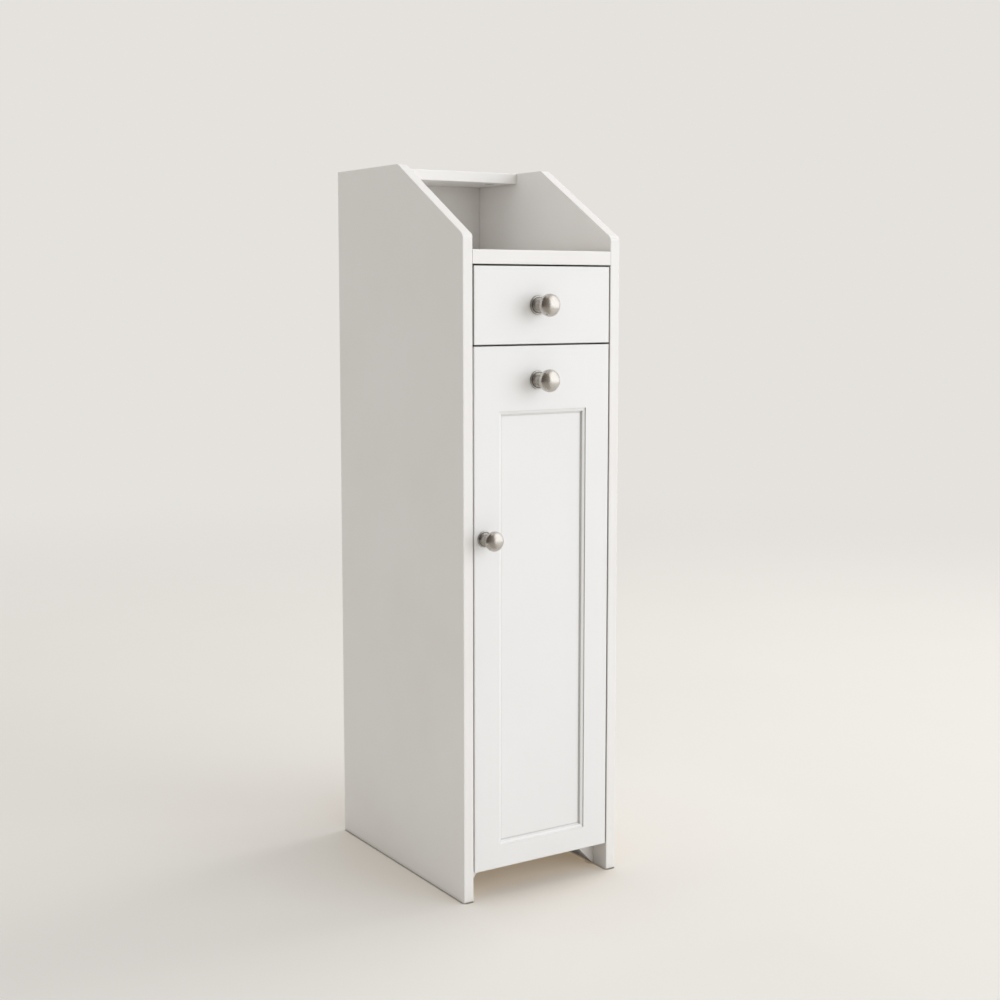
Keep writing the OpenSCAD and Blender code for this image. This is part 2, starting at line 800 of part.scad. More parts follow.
module catch_pole_plates() {
    middle = DIVIDER[0] - catch_h / 2;
    color(STEEL) for (z = [middle + magnet_h / 2, middle - magnet_h / 2 - pole_t])
        translate([catch_x - magnet_w / 2, catch_front - pole_out, z])
            cube([magnet_w, magnet_d + pole_out, pole_t]);
}

module catch_screws() {
    color(STEEL) catch_screw_places() wood_screw(CATCH_SCREW);
}

module strike_screw_place() {
    translate([catch_x, front_y + front_t + strike_t, DIVIDER[0] - catch_h / 2])
        rotate([90, 0, 0]) children();
}

module strike_plate() {
    low_y = front_y + front_t;
    color(STEEL) difference() {
        translate([catch_x, low_y + strike_t, DIVIDER[0] - catch_h / 2])
            rotate([90, 0, 0]) linear_extrude(strike_t)
                polygon(eased_rectangle([-strike_w / 2, -strike_h / 2], [strike_w / 2, strike_h / 2], 2));
        strike_screw_place() screw_hole(CUP_SCREW);
    }
}

module strike_plate_screw() {
    color(STEEL) strike_screw_place() wood_screw(CUP_SCREW);
}

// ---- Door ----

// Section of a frame piece: u runs from its flat outer edge to the panel, v from its face to its back.
// Its inner edge carries the moulding, a quirk, a round and a fillet, and the groove for the panel
function frame_section(flat) =
    let (
        edge = flat + moulding_w,
        round_w = moulding_w - 1.3,
        round_h = panel_recess - quirk - 2 * fillet_h,
        groove_rear = panel_recess + panel_t + fit
    )
    concat(
        [[0, 0], [flat, 0], [flat, quirk]],
        [for (i = [0:6]) [
            flat + 0.4 + round_w * sin(i * 15),
            quirk + round_h * (1 - cos(i * 15))
        ]],
        [
            [flat + 0.4 + round_w, panel_recess - fillet_h], [edge, panel_recess - fillet_h],
            [edge, panel_recess],
            [edge - panel_groove, panel_recess], [edge - panel_groove, groove_rear],
            [edge, groove_rear], [edge, front_t], [0, front_t]
        ]
    );

// Left stile at full height, with square ends
module stile_bar() {
    translate([-front_w / 2, front_y, door_z]) linear_extrude(door_h) polygon(frame_section(stile_flat));
}

// Rail across the door, with its flat outer edge at z and its moulding towards +Z
module rail_bar(flat) {
    half = front_w / 2 - stile_flat;
    translate([-half, front_y, 0]) rotate([90, 0, 90]) linear_extrude(2 * half)
        polygon([for (p = frame_section(flat)) [p.y, p.x]]);
}

// The whole door's outside, which eases the frame's edges
module door_outside() {
    eased_block([-front_w / 2, front_y, door_z], [front_w / 2, front_y + front_t, door_z + door_h]);
}

// Holes for the knob's screw
module knob_hole(x, z) {
    bore_y([x, front_y - 1, z], knob_screw_d + 0.3, front_t + 2);
}

module door_stile_left() {
    color(WHITE) difference() {
        intersection() {
            door_outside();
            stile_bar();
        }
        knob_hole(stile_knob_x, stile_knob_z);
    }
}

module door_stile_right() {
    color(WHITE) difference() {
        intersection() {
            door_outside();
            mirror([1, 0, 0]) stile_bar();
        }
        for (z = HINGE_Z) {
            bore_y([cup_x, front_y + front_t - cup_depth, z], cup_d, cup_depth + 1);
            cup_screw_places(z) screw_hole(CUP_SCREW);
        }
    }
}

// The rails' ends are coped over the stiles' moulding and fill the stiles' groove as short tenons
module coped_rail() {
    difference() {
        intersection() {
            door_outside();
            children();
        }
        both_sides() stile_bar();
    }
}

module door_rail_top() {
    color(WHITE) difference() {
        coped_rail()
            translate([0, 0, door_z + door_h]) mirror([0, 0, 1]) rail_bar(top_rail_flat);
        knob_hole(-knob_left, door_knob_z);
        strike_screw_place() screw_hole(CUP_SCREW);
    }
}

module door_rail_bottom() {
    color(WHITE) coped_rail() translate([0, 0, door_z]) rail_bar(bottom_rail_flat);
}

module door_panel() {
    tongue = panel_groove - moulding_w - 0.5;
    half = front_w / 2 - stile_flat + tongue;
    color(WHITE)
        translate([-half, front_y + panel_recess, bottom_field_z - tongue])
            cube([2 * half, panel_t, top_field_z - bottom_field_z + 2 * tongue]);
}

// ---- Knobs ----

// Stepped rose against the painted face, standing up from z = 0
module rose_shape(share) {
    scale(share) rotate_extrude($fn = 72) polygon([
        [2.6, 0], [9.8, 0], [9.8, 0.9],
        for (i = [0:4]) [9 + 0.8 * cos(i * 22.5), 0.9 + 0.8 * sin(i * 22.5)],
        [8.5, 1.7], [8.3, 1.4], [8.1, 1.7],
        for (i = [0:4]) [7.5 + 0.6 * cos(i * 22.5), 2 + 0.7 * sin(i * 22.5)],
        [7.2, 2.7], [7.1, 2.4], [2.6, 2.4]
    ]);
}

// Turned knob: foot, waist, flared collar and a flattened round head
module knob_shape(share) {
    head_r = knob_d / 2;
    middle = knob_reach - 7.6;
    foot = 2.4;
    difference() {
        scale(share) rotate_extrude($fn = 72) polygon([
            [0, foot], [6.8, foot], [6.8, foot + 0.9],
            for (i = [0:6]) [6.2 + 0.6 * cos(i * 15), foot + 0.9 + 0.6 * sin(i * 15)],
            for (i = [0:8]) [6.3 - 0.5 * sin(i * 22.5), foot + 1.8 + 9 * i / 8],
            for (i = [1:4]) [6.3 + i * 0.35, foot + 10.8 + 0.35 * i * i / 4],
            for (i = [2:8]) [head_r - (head_r - 7.4) * pow(cos(i * 90 / 8), 1.6), middle - 7 * cos(i * 90 / 8)],
            for (i = [1:16]) [head_r * cos(i * 90 / 16), middle + (knob_reach - middle) * sin(i * 90 / 16)]
        ]);
        translate([0, 0, -1]) cylinder(d = knob_screw_d + 2 * screw_fit, h = 12, $fn = 32);
    }
}

// Places a knob's pieces on the front plane
module on_front(x, z) {
    translate([x, front_y, z]) rotate([90, 0, 0]) children();
}

// Machine screw with a pan head, put in from behind the front
module knob_screw(x, z) {
    head_d = 2 * knob_screw_d;
    translate([x, front_y + front_t, z]) rotate([90, 0, 0]) difference() {
        rotate_extrude($fn = 32) polygon([
            [0, -2.4], [head_d / 2 - 1.2, -2.4], [head_d / 2, -1.2], [head_d / 2, 0],
            [knob_screw_d / 2, 0], [knob_screw_d / 2, front_t + 9], [0, front_t + 9]
        ]);
        for (turn = [0, 90])
            rotate(turn) translate([-head_d / 4, -0.5, -3]) cube([head_d / 2, 1, 2]);
    }
}

module door_rail_knob() {
    color(NICKEL) on_front(-knob_left, door_knob_z) knob_shape(1);
}

module door_rail_knob_rose() {
    color(NICKEL) on_front(-knob_left, door_knob_z) rose_shape(1);
}

module door_stile_knob() {
    color(NICKEL) on_front(stile_knob_x, stile_knob_z) knob_shape(stile_knob_share);
}

module door_stile_knob_rose() {
    color(NICKEL) on_front(stile_knob_x, stile_knob_z) rose_shape(stile_knob_share);
}

module door_knob_screws() {
    color(STEEL) {
        knob_screw(-knob_left, door_knob_z);
        knob_screw(stile_knob_x, stile_knob_z);
    }
}

module drawer_knob() {
    color(NICKEL) on_front(-knob_left, drawer_knob_z) knob_shape(1);
}

module drawer_knob_rose() {
    color(NICKEL) on_front(-knob_left, drawer_knob_z) rose_shape(1);
}

module drawer_knob_screw() {
    color(STEEL) knob_screw(-knob_left, drawer_knob_z);
}

// ---- Drawer ----

// Turns a fixing that lies along X so that it runs from the drawer front into a side
module into_side(z) {
    translate([drawer_side_x, drawer_box_y, z]) rotate([0, 0, 90]) children();
}

module drawer_front() {
    color(WHITE) difference() {
        eased_block(
            [-front_w / 2, front_y, drawer_front_z],
            [front_w / 2, front_y + front_t, drawer_front_z + drawer_front_h]
        );
        knob_hole(-knob_left, drawer_knob_z);
        both_sides() {
            into_side(drawer_cam_z) bore_x([-side_bore, 0, 0], bolt_thread_d, side_bore + 1);
            for (z = DRAWER_DOWEL_Z) into_side(z) bore_x([-side_bore, 0, 0], dowel_d, side_bore + 1);
        }
        translate([-drawer_inner_w / 2 - drawer_bottom_groove, drawer_box_y - drawer_bottom_groove,
                drawer_box_z + drawer_bottom_in - fit / 2])
            cube([drawer_inner_w + 2 * drawer_bottom_groove, drawer_bottom_groove + 1, drawer_bottom_t + fit]);
    }
}

// Left side of the drawer: runner groove outside, bottom groove inside
module drawer_side() {
    outer = -drawer_box_w / 2;
    difference() {
        translate([outer, drawer_box_y, 0]) rotate([90, 0, 0]) mirror([0, 0, 1]) linear_extrude(drawer_side_l)
            polygon(rounded([
                [0, drawer_box_z, 0], [drawer_board_t, drawer_box_z, 0],
                [drawer_board_t, drawer_box_z + drawer_side_h, arris], [0, drawer_box_z + drawer_side_h, arris]
            ]));
        translate([outer - 1, drawer_box_y - 1, strip_z - strip_h / 2 - strip_clear])
            cube([drawer_groove + 1, drawer_side_l + 2, strip_h + 2 * strip_clear]);
        translate([outer + drawer_board_t - drawer_bottom_groove, drawer_box_y - 1,
                drawer_box_z + drawer_bottom_in - fit / 2])
            cube([drawer_bottom_groove + 1, drawer_side_l + 2, drawer_bottom_t + fit]);
        into_side(drawer_cam_z) {
            bore_x([-1, 0, 0], bolt_bore_d, cam_in + 1);
            translate([cam_in, 0, 0]) rotate([90, 0, 0]) bore_z([0, 0, -drawer_board_t / 2 - 1], cam_d, cam_h + 1);
        }
        for (z = DRAWER_DOWEL_Z) into_side(z) bore_x([-1, 0, 0], dowel_d, dowel_l * 2 / 3 + 2);
        drawer_screw_places() screw_hole(DRAWER_SCREW);
    }
}

module drawer_screw_places() {
    for (z = DRAWER_SCREW_Z)
        translate([-drawer_box_w / 2, drawer_rear_y - drawer_board_t / 2, z]) rotate([0, 90, 0]) children();
}

module drawer_side_left() {
    color(BOARD) drawer_side();
}

module drawer_side_right() {
    color(BOARD) mirror([1, 0, 0]) drawer_side();
}

// The back stands on the drawer bottom, between the sides
module drawer_back() {
    low_z = drawer_box_z + drawer_bottom_in + drawer_bottom_t;
    color(BOARD) difference() {
        translate([-drawer_inner_w / 2, drawer_rear_y - drawer_board_t, 0]) rotate([90, 0, 90])
            linear_extrude(drawer_inner_w) polygon(rounded([
                [0, low_z, 0], [drawer_board_t, low_z, 0],
                [drawer_board_t, drawer_box_z + drawer_side_h, arris], [0, drawer_box_z + drawer_side_h, arris]
            ]));
        both_sides() drawer_screw_places() screw_hole(DRAWER_SCREW);
        drawer_pin_places() bore_z([0, 0, 0], panel_pin_d + 2 * screw_fit, panel_pin_l);
    }
}

module drawer_bottom() {
    reach = drawer_inner_w / 2 + drawer_bottom_groove - 0.5;
    low_y = drawer_box_y - drawer_bottom_groove + 0.5;
    color(BOARD) difference() {
        translate([-reach, low_y, drawer_box_z + drawer_bottom_in])
            cube([2 * reach, drawer_rear_y - low_y, drawer_bottom_t]);
        drawer_pin_places() bore_z([0, 0, -1], panel_pin_d + 2 * screw_fit, panel_pin_l);
    }
}

module drawer_pin_places() {
    for (x = [-1, 1])
        translate([x * drawer_inner_w / 4, drawer_rear_y - drawer_board_t / 2, drawer_box_z + drawer_bottom_in])
            children();
}

module drawer_bottom_pins() {
    color(STEEL) drawer_pin_places() rotate_extrude($fn = 24) polygon([
        [0, -panel_pin_head_t], [panel_pin_head_d / 2, -panel_pin_head_t / 2],
        [panel_pin_head_d / 2, 0], [panel_pin_d / 2, 0],
        [panel_pin_d / 2, panel_pin_l - 2], [0, panel_pin_l - 1]
    ]);
}

module drawer_cam_locks() {
    color(STEEL) both_sides() into_side(drawer_cam_z) translate([cam_in, 0, 0]) rotate([90, 0, 0])
        translate([0, 0, -drawer_board_t / 2]) rotate([0, 0, 180]) cam_lock();
}

module drawer_cam_bolts() {
    color(STEEL) both_sides() into_side(drawer_cam_z) cam_bolt();
}

module drawer_dowels() {
    color(BEECH) both_sides() for (z = DRAWER_DOWEL_Z) into_side(z) dowel([0, 0, 0]);
}

module drawer_back_screws() {
    color(STEEL) both_sides() drawer_screw_places() wood_screw(DRAWER_SCREW);
}

side_panel_left();
side_panel_right();
top_board();
tray_shelf();
divider_board();
bottom_board();
plinth_rail();
back_panel();
shelf_upper();
shelf_lower();
shelf_pins();
cam_locks();
cam_bolts();
board_dowels();
back_panel_pins();
plinth_screws();
runner_strip_left();
runner_strip_right();
runner_screws();
hinge_arm_upper();
hinge_arm_lower();
hinge_arm_screws();
catch_case();
catch_magnet();
catch_pole_plates();
catch_screws();
door_stile_left();
door_stile_right();
door_rail_top();
door_rail_bottom();
door_panel();
hinge_cup_upper();
hinge_cup_lower();
hinge_pins();
hinge_cup_screws();
strike_plate();
strike_plate_screw();
door_rail_knob();
door_rail_knob_rose();
door_stile_knob();
door_stile_knob_rose();
door_knob_screws();
drawer_front();
drawer_side_left();
drawer_side_right();
drawer_back();
drawer_bottom();
drawer_cam_locks();
drawer_cam_bolts();
drawer_dowels();
drawer_back_screws();
drawer_bottom_pins();
drawer_knob();
drawer_knob_rose();
drawer_knob_screw();
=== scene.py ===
import math

import bpy
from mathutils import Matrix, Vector


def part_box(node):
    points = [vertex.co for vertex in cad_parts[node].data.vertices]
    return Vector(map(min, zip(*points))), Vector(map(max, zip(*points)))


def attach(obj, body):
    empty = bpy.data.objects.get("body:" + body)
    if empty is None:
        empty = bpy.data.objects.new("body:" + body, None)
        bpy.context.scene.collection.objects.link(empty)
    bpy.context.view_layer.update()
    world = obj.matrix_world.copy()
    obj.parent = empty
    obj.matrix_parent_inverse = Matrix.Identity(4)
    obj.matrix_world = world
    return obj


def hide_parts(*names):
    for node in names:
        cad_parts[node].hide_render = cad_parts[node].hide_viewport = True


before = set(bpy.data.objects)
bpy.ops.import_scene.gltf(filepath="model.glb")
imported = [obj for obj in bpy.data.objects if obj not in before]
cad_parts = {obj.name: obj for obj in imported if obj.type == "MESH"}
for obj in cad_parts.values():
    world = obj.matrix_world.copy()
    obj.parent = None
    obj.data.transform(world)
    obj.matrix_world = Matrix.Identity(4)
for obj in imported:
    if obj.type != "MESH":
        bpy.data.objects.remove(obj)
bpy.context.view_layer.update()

# ---------------------------------------------------------------- Camera
# The cabinet is seen from its front left, from about the height of the drawer. The camera's place
# and focal length come from the cabinet's corners in a picture of 1000 by 1000 pixels.
picture_px = 1000
focal_px = 1568.7
lifted_px = 34
camera_left = 0.9394
camera_ahead = 1.3824
camera_height = 0.6498
camera_down = 0.1096
camera_turn = 0.5693
fronts_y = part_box("drawer_front")[0].y

camera_data = bpy.data.cameras.new("camera")
camera_data.sensor_width = 36
camera_data.lens = focal_px / picture_px * camera_data.sensor_width
camera_data.shift_y = -lifted_px / picture_px
camera = bpy.data.objects.new("camera", camera_data)
camera.location = (-camera_left, fronts_y - camera_ahead, camera_height)
camera.rotation_euler = (math.pi / 2 - camera_down, 0, -camera_turn)
bpy.context.collection.objects.link(camera)
bpy.context.scene.camera = camera
bpy.context.scene.view_settings.view_transform = "Standard"


# ---------------------------------------------------------------- Floor and room
# A plain pale floor that fades into an even backdrop. The floor takes the cabinet's soft shadow from
# the lamps, darkened further by painted shade near the cabinet, with a painted contact shadow along
# its feet and a painted warm glow beneath it; the fade hides the floor's far edge.
def add(tree, kind, sockets=None, **settings):
    """Adds a shader node. A socket given as another node's output is linked, any other is set."""
    made = tree.nodes.new(kind)
    for name, value in settings.items():
        setattr(made, name, value)
    for name, value in (sockets or {}).items():
        socket = made.inputs[name]
        if isinstance(value, bpy.types.NodeSocket):
            tree.links.new(value, socket)
        else:
            socket.default_value = value
    return made


def colour(red, green, blue):
    """Colour as 0 to 255 screen values, turned into the linear values that shaders take."""
    def linear(v):
        v /= 255
        return v / 12.92 if v <= 0.04045 else ((v + 0.055) / 1.055) ** 2.4
    return (linear(red), linear(green), linear(blue), 1)


def open_material(name):
    """A new node material, emptied but for its output. Returns the material, tree and output."""
    material = bpy.data.materials.new(name)
    material.use_nodes = True
    tree = material.node_tree
    tree.nodes.clear()
    return material, tree, add(tree, "ShaderNodeOutputMaterial")


def own_place(tree):
    """Where a spot lies on its own piece."""
    return add(tree, "ShaderNodeTexCoord").outputs["Object"]


def noise(tree, place, scale, detail, distortion=0.0):
    """Cloudy noise, mostly between 0.3 and 0.7."""
    return add(tree, "ShaderNodeTexNoise", {"Vector": place, "Scale": scale, "Detail": detail,
                                            "Distortion": distortion}).outputs["Fac"]


def remap(tree, value, low, high, kind="LINEAR"):
    """Stretches what lies between low and high to 0 to 1."""
    return add(tree, "ShaderNodeMapRange", {"Value": value, "From Min": low, "From Max": high},
               interpolation_type=kind).outputs["Result"]


def open_sky(tree, reach, samples):
    """How open a spot is: 1 where nothing within reach covers it."""
    return add(tree, "ShaderNodeAmbientOcclusion", {"Distance": reach}, samples=samples).outputs["AO"]


def sum_up(tree, kind, first, second, third=None):
    """One step of arithmetic on values."""
    sockets = {0: first, 1: second}
    if third is not None:
        sockets[2] = third
    return add(tree, "ShaderNodeMath", sockets, operation=kind).outputs[0]


def blend_colours(tree, mask, first, second):
    """Mixes two colours by a mask and returns the result."""
    return add(tree, "ShaderNodeMix", {"Factor": mask, "A": first, "B": second},
               data_type="RGBA").outputs["Result"]


backdrop_colour = colour(229, 226, 222)
floor_colour = colour(229, 226, 222)
cloud_colour = colour(226, 223, 218)
shade_colour = colour(214, 205, 193)
underneath_glow_colour = colour(228, 202, 168)
painted_contact_shadow_colour = colour(70, 61, 52)
floor_half = 20
floor_roughness = 0.75
shade_reach = 0.3
contact_reach = 0.006
fade_start = 0.9
fade_end = 3.4
lift_all_over = 0.11
underneath_glow_strength = 0.17

floor_material, tree, output = open_material("studio_floor")
place = own_place(tree)
distance = add(tree, "ShaderNodeVectorMath", {0: place}, operation="LENGTH").outputs["Value"]
far = remap(tree, distance, fade_start, fade_end, "SMOOTHSTEP")
rays = add(tree, "ShaderNodeLightPath").outputs
seen = rays["Is Camera Ray"]
fade = sum_up(tree, "MULTIPLY", far, sum_up(tree, "MAXIMUM", seen, rays["Is Glossy Ray"]))
tone = blend_colours(tree, noise(tree, place, 3.0, 3.0), floor_colour, cloud_colour)
# Painted shade: the floor's colour darkens towards shade_colour where the cabinet hides its sky
sky = open_sky(tree, shade_reach, 6)
tone = blend_colours(tree, remap(tree, sky, 0.9, 0.3), tone, shade_colour)
# Painted contact shadow: a dark line where the cabinet stands on the floor
painted_contact_shadow = remap(tree, open_sky(tree, contact_reach, 8), 0.7, 0.5)
tone = blend_colours(tree, painted_contact_shadow, tone, painted_contact_shadow_colour)
matt = add(tree, "ShaderNodeBsdfPrincipled", {"Base Color": tone, "Roughness": floor_roughness})
# Painted light: for the camera the floor glows a little paler all over, and warmer and brighter beneath the
# cabinet, where most of its sky is hidden
underneath_glow_mask = remap(tree, sky, 0.42, 0.12)
lift = sum_up(tree, "MULTIPLY", seen, sum_up(tree, "MULTIPLY_ADD", underneath_glow_mask, underneath_glow_strength, lift_all_over))
glow_tone = blend_colours(tree, underneath_glow_mask, backdrop_colour, underneath_glow_colour)
paler = add(tree, "ShaderNodeEmission", {"Color": glow_tone, "Strength": lift})
matt = add(tree, "ShaderNodeAddShader", {0: matt.outputs[0], 1: paler.outputs[0]})
glow = add(tree, "ShaderNodeEmission", {"Color": backdrop_colour, "Strength": 1.0})
joined = add(tree, "ShaderNodeMixShader", {0: fade, 1: matt.outputs[0], 2: glow.outputs[0]})
tree.links.new(joined.outputs[0], output.inputs["Surface"])

floor_mesh = bpy.data.meshes.new("floor")
corners = [(x * floor_half, y * floor_half, 0) for x, y in ((-1, -1), (1, -1), (1, 1), (-1, 1))]
floor_mesh.from_pydata(corners, [], [(0, 1, 2, 3)])
floor = bpy.data.objects.new("floor", floor_mesh)
floor.data.materials.append(floor_material)
bpy.context.collection.objects.link(floor)

# ---------------------------------------------------------------- Studio light
# Even room light, a wide soft lamp from the front right, which throws the knobs' soft shadows to
# the left, and one high on the right for the cabinet's shadow on the floor. Dark and grey cards on
# the left and in front and a white one on the right are only there for the metal to mirror.
room_strength = 0.57
overhead_strength = 0.76
room_tint = colour(250, 249, 246)
lamp_power = 150.5
lamp_size = 5.4
lamp_distance = 5.2
lamp_way = Vector((0.56, -0.81, 0.14)).normalized()
lamp_tint = (0.89, 0.93, 0.995)
upper_power = 27
upper_size = 1.6
upper_distance = 3.2
upper_way = Vector((0.66, 0.06, 0.75)).normalized()
upper_tint = (1.0, 0.985, 0.96)
aim = Vector((0, 0, 0.45))

world = bpy.data.worlds.new("room")
bpy.context.scene.world = world
world.use_nodes = True
tree = world.node_tree
tree.nodes.clear()
rays = add(tree, "ShaderNodeLightPath").outputs
shown = sum_up(tree, "MAXIMUM", rays["Is Camera Ray"], rays["Is Glossy Ray"])
shown = sum_up(tree, "MAXIMUM", shown, rays["Is Transmission Ray"])
way = add(tree, "ShaderNodeTexCoord").outputs["Generated"]
upward = add(tree, "ShaderNodeSeparateXYZ", {0: way}).outputs["Z"]
strength = add(tree, "ShaderNodeMapRange", {"Value": upward, "From Min": 0.1, "From Max": 0.9,
                                            "To Min": room_strength, "To Max": overhead_strength})
light = add(tree, "ShaderNodeBackground", {"Color": room_tint, "Strength": strength.outputs["Result"]})
pale = add(tree, "ShaderNodeBackground", {"Color": backdrop_colour, "Strength": 1.0})
mixed = add(tree, "ShaderNodeMixShader", {0: shown, 1: light.outputs[0], 2: pale.outputs[0]})
output = add(tree, "ShaderNodeOutputWorld")
tree.links.new(mixed.outputs[0], output.inputs["Surface"])


def soft_lamp(name, way, distance, power, size, tint, mirrored=True):
    """A round area lamp that looks at the cabinet from the given direction."""
    data = bpy.data.lights.new(name, "AREA")
    data.shape = "DISK"
    data.size = size
    data.energy = power
    data.color = tint
    lamp = bpy.data.objects.new(name, data)
    lamp.location = aim + way * distance
    lamp.rotation_euler = (-way).to_track_quat("-Z", "Y").to_euler()
    lamp.visible_glossy = mirrored
    bpy.context.collection.objects.link(lamp)


soft_lamp("front_lamp", lamp_way, lamp_distance, lamp_power, lamp_size, lamp_tint)
soft_lamp("upper_lamp", upper_way, upper_distance, upper_power, upper_size, upper_tint, mirrored=False)

dark_tone = colour(88, 80, 71)
brown_grey = colour(112, 104, 95)
pale_grey = colour(152, 145, 137)
left_corner = (-2.3, -2.7)
front_corner = (0.6, -3.9)
wall_card_height = 7.0


def mirror_card(name, near_end, far_end, height, near_tone, far_tone, strength=1.0, lean=0, lift=0):
    """A glowing card that is only seen in reflections. It stands from one floor point to another."""
    material, tree, output = open_material(name)
    length = math.dist(near_end, far_end)
    along = add(tree, "ShaderNodeSeparateXYZ", {0: own_place(tree)}).outputs["X"]
    tone = blend_colours(tree, remap(tree, along, 0.0, length, "SMOOTHSTEP"), near_tone, far_tone)
    glow = add(tree, "ShaderNodeEmission", {"Color": tone, "Strength": strength})
    tree.links.new(glow.outputs[0], output.inputs["Surface"])
    mesh = bpy.data.meshes.new(name)
    mesh.from_pydata([(0, 0, 0), (length, 0, 0), (length, 0, height), (0, 0, height)], [], [(0, 1, 2, 3)])
    card = bpy.data.objects.new(name, mesh)
    card.location = (near_end[0], near_end[1], lift)
    card.rotation_euler = (lean, 0, math.atan2(far_end[1] - near_end[1], far_end[0] - near_end[0]))
    card.data.materials.append(material)
    card.visible_camera = False
    card.visible_diffuse = False
    card.visible_shadow = False
    bpy.context.collection.objects.link(card)


mirror_card("dark_card", (-1.2, 1.6), left_corner, wall_card_height, dark_tone, brown_grey)
mirror_card("grey_card", left_corner, front_corner, wall_card_height, brown_grey, pale_grey)
mirror_card("lying_card", (0.15, -0.35), (0.15, -3.8), 2.4, colour(180, 175, 167), colour(150, 143, 134),
            lean=math.pi / 2, lift=0.004)
mirror_card("white_card", front_corner, (4.0, 0.2), 5.0, colour(250, 250, 248), colour(236, 236, 236),
            strength=1.75)


# ---------------------------------------------------------------- Side panels
# Two full-height boards of 12 mm fibreboard with a sloping top front corner. They are sprayed with
# satin white paint, with fine orange peel; their eased edges carry a painted highlight, and their
# corners and gaps painted shade.
def open_group(name, inputs, outputs):
    """A new shader node group. Sockets are given as name: (kind, default) and name: kind."""
    group = bpy.data.node_groups.new(name, "ShaderNodeTree")
    for label, (kind, default) in inputs.items():
        socket = group.interface.new_socket(label, in_out="INPUT", socket_type="NodeSocket" + kind)
        socket.default_value = default
    for label, kind in outputs.items():
        group.interface.new_socket(label, in_out="OUTPUT", socket_type="NodeSocket" + kind)
    return group, group.nodes.new("NodeGroupInput").outputs, group.nodes.new("NodeGroupOutput").inputs


def use_group(tree, group, sockets=None):
    """Places a node group in a tree and returns its outputs."""
    made = tree.nodes.new("ShaderNodeGroup")
    made.node_tree = group
    for name, value in (sockets or {}).items():
        if isinstance(value, bpy.types.NodeSocket):
            tree.links.new(value, made.inputs[name])
        else:
            made.inputs[name].default_value = value
    return made.outputs


# Edges, where the surface turns sharply, found by comparing it with its rounded normal: wear on
# some materials, a painted highlight on the paint
edge_wear_and_highlight, start, end = open_group(
    "edge_wear_and_highlight", {"Width": ("Float", 0.0015), "Breakup": ("Float", 220.0)}, {"Mask": "Float"})
rounded = add(edge_wear_and_highlight, "ShaderNodeBevel", {"Radius": start["Width"]}, samples=4).outputs["Normal"]
straight = add(edge_wear_and_highlight, "ShaderNodeNewGeometry").outputs["Normal"]
turned_by = add(edge_wear_and_highlight, "ShaderNodeVectorMath", {0: rounded, 1: straight}, operation="DOT_PRODUCT")
edge = remap(edge_wear_and_highlight, turned_by.outputs["Value"], 0.995, 0.80)
broken = remap(edge_wear_and_highlight, noise(edge_wear_and_highlight, own_place(edge_wear_and_highlight), start["Breakup"], 4.0), 0.3, 0.6)
edge_wear_and_highlight.links.new(sum_up(edge_wear_and_highlight, "MULTIPLY", edge, broken), end["Mask"])

# Dust and painted shade in inner corners, where less of the room is seen
corner_dust_and_shade, start, end = open_group("corner_dust_and_shade", {"Reach": ("Float", 0.03)}, {"Mask": "Float"})
closed = sum_up(corner_dust_and_shade, "SUBTRACT", 1.0, open_sky(corner_dust_and_shade, start["Reach"], 6))
patchy = sum_up(corner_dust_and_shade, "MULTIPLY_ADD", noise(corner_dust_and_shade, own_place(corner_dust_and_shade), 45.0, 5.0), 0.6, 0.7)
corner_dust_and_shade.links.new(sum_up(corner_dust_and_shade, "MULTIPLY", closed, patchy), end["Mask"])

# Painted shade on faces inside narrow gaps, most of all on level faces
gap_shade, start, end = open_group(
    "gap_shade", {"Reach": ("Float", 0.006), "Upright": ("Float", 0.04), "Level": ("Float", 0.9)},
    {"Mask": "Float"})
gap_shade_mask = remap(gap_shade, open_sky(gap_shade, start["Reach"], 6), 0.42, 0.12)
facing = add(gap_shade, "ShaderNodeNewGeometry").outputs["Normal"]
upward = add(gap_shade, "ShaderNodeSeparateXYZ", {0: facing}).outputs["Z"]
level = add(gap_shade, "ShaderNodeMath", {0: upward}, operation="ABSOLUTE").outputs[0]
amount = add(gap_shade, "ShaderNodeMapRange", {"Value": level, "From Min": 0.2, "From Max": 0.8,
                                              "To Min": start["Upright"], "To Max": start["Level"]})
gap_shade.links.new(sum_up(gap_shade, "MULTIPLY", gap_shade_mask, amount.outputs["Result"]), end["Mask"])

# Painted shade: fine grey lines in inner corners, where little light comes in
corner_shade_line, start, end = open_group(
    "corner_shade_line", {"Reach": ("Float", 0.005)}, {"Soft": "Float", "Deep": "Float"})
sky = open_sky(corner_shade_line, start["Reach"], 8)
for label, lightest, darkest in (("Soft", 0.97, 0.82), ("Deep", 0.82, 0.45)):
    corner_shade_line.links.new(remap(corner_shade_line, sky, lightest, darkest), end[label])

